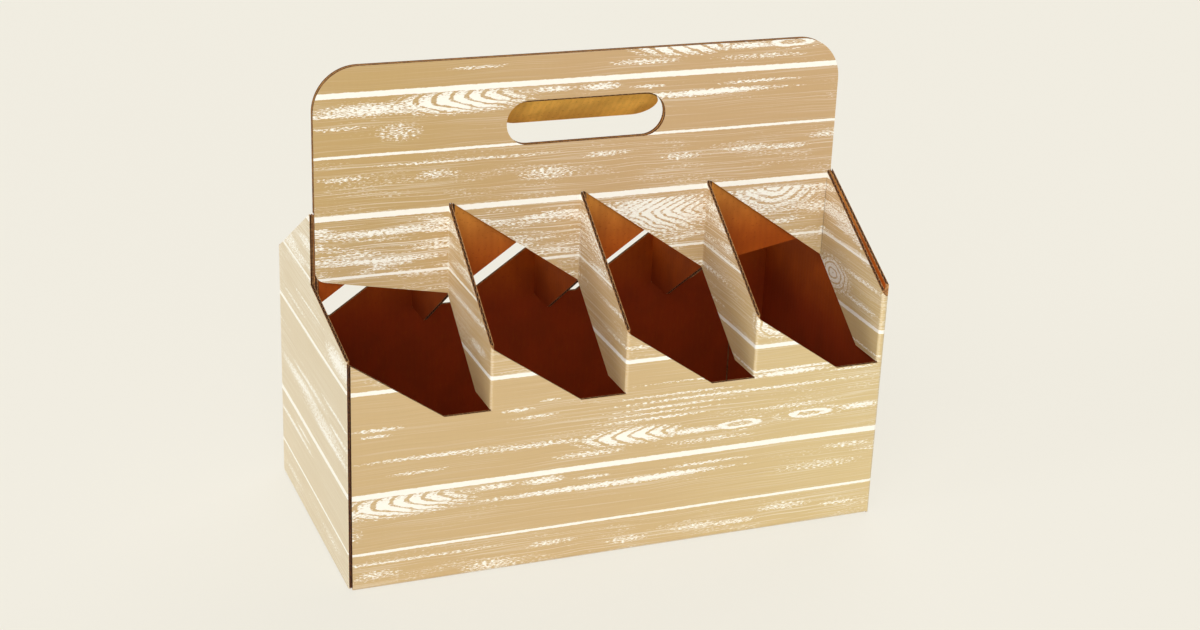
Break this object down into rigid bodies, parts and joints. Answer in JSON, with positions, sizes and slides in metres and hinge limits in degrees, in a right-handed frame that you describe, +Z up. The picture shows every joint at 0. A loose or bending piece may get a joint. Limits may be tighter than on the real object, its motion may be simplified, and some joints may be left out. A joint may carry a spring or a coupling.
{
  "type": "drink carrier box",
  "caption": "Open-top corrugated board bottle carrier with strap dividers, a double handle with a hand hole, and creases that let it fold flat.",
  "frame": {"origin": "centre of the footprint on the ground", "axes": "+X along the carrier, -Y towards the front panel, +Z up"},
  "size_m": [0.2656, 0.133, 0.227],
  "materials": {
    "printed_board": "matt plank print on kraft board",
    "kraft_board": "bare kraft"
  },
  "bodies": {
    "handle": {"front_handle_ply": "printed_board", "rear_handle_ply": "printed_board"},
    "hand_flap": {"hand_flap": "kraft_board"},
    "front_divider_2": {"front_divider_2": "printed_board"},
    "front_divider_1": {"front_divider_1": "printed_board"},
    "front_divider_3": {"front_divider_3": "printed_board"},
    "front_end_strap": {"front_end_strap": "printed_board"},
    "front_panel": {"front_panel": "printed_board", "left_glue_flap": "kraft_board"},
    "right_end_panel": {"right_end_panel": "printed_board"},
    "front_bottom_flap": {"front_bottom_flap": "printed_board"},
    "right_bottom_flap": {"right_bottom_flap": "printed_board"},
    "rear_divider_2": {"rear_divider_2": "printed_board"},
    "rear_divider_1": {"rear_divider_1": "printed_board"},
    "rear_divider_3": {"rear_divider_3": "printed_board"},
    "rear_end_strap": {"rear_end_strap": "printed_board"},
    "rear_panel": {"rear_panel": "printed_board", "right_glue_flap": "kraft_board"},
    "left_end_panel": {"left_end_panel": "printed_board"},
    "rear_bottom_flap": {"rear_bottom_flap": "printed_board"},
    "left_bottom_flap": {"left_bottom_flap": "printed_board"}
  },
  "joints": [
    {"name": "fold_flat", "type": "hinge", "parent": "handle", "child": "front_divider_2", "pos_m": [-0.00015, -0.00015, 0.1], "axis": [0, 0, 1], "range_deg": [0, 85]},
    {"name": "front_divider_1_crease", "type": "hinge", "parent": "handle", "child": "front_divider_1", "pos_m": [-0.06565, -0.00015, 0.1], "axis": [0, 0, 1], "range_deg": [0, 85]},
    {"name": "front_divider_3_crease", "type": "hinge", "parent": "handle", "child": "front_divider_3", "pos_m": [0.06535, -0.00015, 0.1], "axis": [0, 0, 1], "range_deg": [0, 85]},
    {"name": "front_end_strap_crease", "type": "hinge", "parent": "handle", "child": "front_end_strap", "pos_m": [0.13085, -0.00015, 0.1], "axis": [0, 0, 1], "range_deg": [0, 85]},
    {"name": "front_panel_crease", "type": "hinge", "parent": "front_divider_2", "child": "front_panel", "pos_m": [-0.00175, -0.0665, 0.09], "axis": [0, 0, 1], "range_deg": [-85, 0]},
    {"name": "right_end_crease", "type": "hinge", "parent": "front_panel", "child": "right_end_panel", "pos_m": [0.13115, -0.0649, 0.06], "axis": [0, 0, 1], "range_deg": [0, 85]},
    {"name": "front_bottom_crease", "type": "hinge", "parent": "front_panel", "child": "front_bottom_flap", "pos_m": [0, -0.0665, 0], "axis": [-1, 0, 0], "range_deg": [0, 85]},
    {"name": "right_bottom_crease", "type": "hinge", "parent": "right_end_panel", "child": "right_bottom_flap", "pos_m": [0.13275, 0, 0.0019], "axis": [0, -1, 0], "range_deg": [0, 85]},
    {"name": "rear_divider_2_crease", "type": "hinge", "parent": "handle", "child": "rear_divider_2", "pos_m": [0.00015, 0.00015, 0.1], "axis": [0, 0, 1], "range_deg": [0, 85]},
    {"name": "rear_divider_1_crease", "type": "hinge", "parent": "handle", "child": "rear_divider_1", "pos_m": [0.06565, 0.00015, 0.1], "axis": [0, 0, 1], "range_deg": [0, 85]},
    {"name": "rear_divider_3_crease", "type": "hinge", "parent": "handle", "child": "rear_divider_3", "pos_m": [-0.06535, 0.00015, 0.1], "axis": [0, 0, 1], "range_deg": [0, 85]},
    {"name": "rear_end_strap_crease", "type": "hinge", "parent": "handle", "child": "rear_end_strap", "pos_m": [-0.13085, 0.00015, 0.1], "axis": [0, 0, 1], "range_deg": [0, 85]},
    {"name": "rear_panel_crease", "type": "hinge", "parent": "rear_divider_2", "child": "rear_panel", "pos_m": [0.00175, 0.0665, 0.09], "axis": [0, 0, 1], "range_deg": [-85, 0]},
    {"name": "left_end_crease", "type": "hinge", "parent": "rear_panel", "child": "left_end_panel", "pos_m": [-0.13115, 0.0649, 0.06], "axis": [0, 0, 1], "range_deg": [0, 85]},
    {"name": "rear_bottom_crease", "type": "hinge", "parent": "rear_panel", "child": "rear_bottom_flap", "pos_m": [0, 0.0665, 0], "axis": [1, 0, 0], "range_deg": [0, 85]},
    {"name": "left_bottom_crease", "type": "hinge", "parent": "left_end_panel", "child": "left_bottom_flap", "pos_m": [-0.13275, 0, 0.0019], "axis": [0, 1, 0], "range_deg": [0, 85]},
    {"name": "hand_flap_crease", "type": "hinge", "parent": "handle", "child": "hand_flap", "pos_m": [0, 0.00175, 0.2055], "axis": [1, 0, 0], "range_deg": [-46, 104]}
  ],
  "couplings": [
    {"joint": "front_divider_1_crease", "follows": "fold_flat", "ratio": 1},
    {"joint": "front_divider_3_crease", "follows": "fold_flat", "ratio": 1},
    {"joint": "front_end_strap_crease", "follows": "fold_flat", "ratio": 1},
    {"joint": "front_panel_crease", "follows": "fold_flat", "ratio": -1},
    {"joint": "right_end_crease", "follows": "fold_flat", "ratio": 1},
    {"joint": "front_bottom_crease", "follows": "fold_flat", "ratio": 1},
    {"joint": "right_bottom_crease", "follows": "fold_flat", "ratio": 1},
    {"joint": "rear_divider_2_crease", "follows": "fold_flat", "ratio": 1},
    {"joint": "rear_divider_1_crease", "follows": "fold_flat", "ratio": 1},
    {"joint": "rear_divider_3_crease", "follows": "fold_flat", "ratio": 1},
    {"joint": "rear_end_strap_crease", "follows": "fold_flat", "ratio": 1},
    {"joint": "rear_panel_crease", "follows": "fold_flat", "ratio": -1},
    {"joint": "left_end_crease", "follows": "fold_flat", "ratio": 1},
    {"joint": "rear_bottom_crease", "follows": "fold_flat", "ratio": 1},
    {"joint": "left_bottom_crease", "follows": "fold_flat", "ratio": 1}
  ]
}
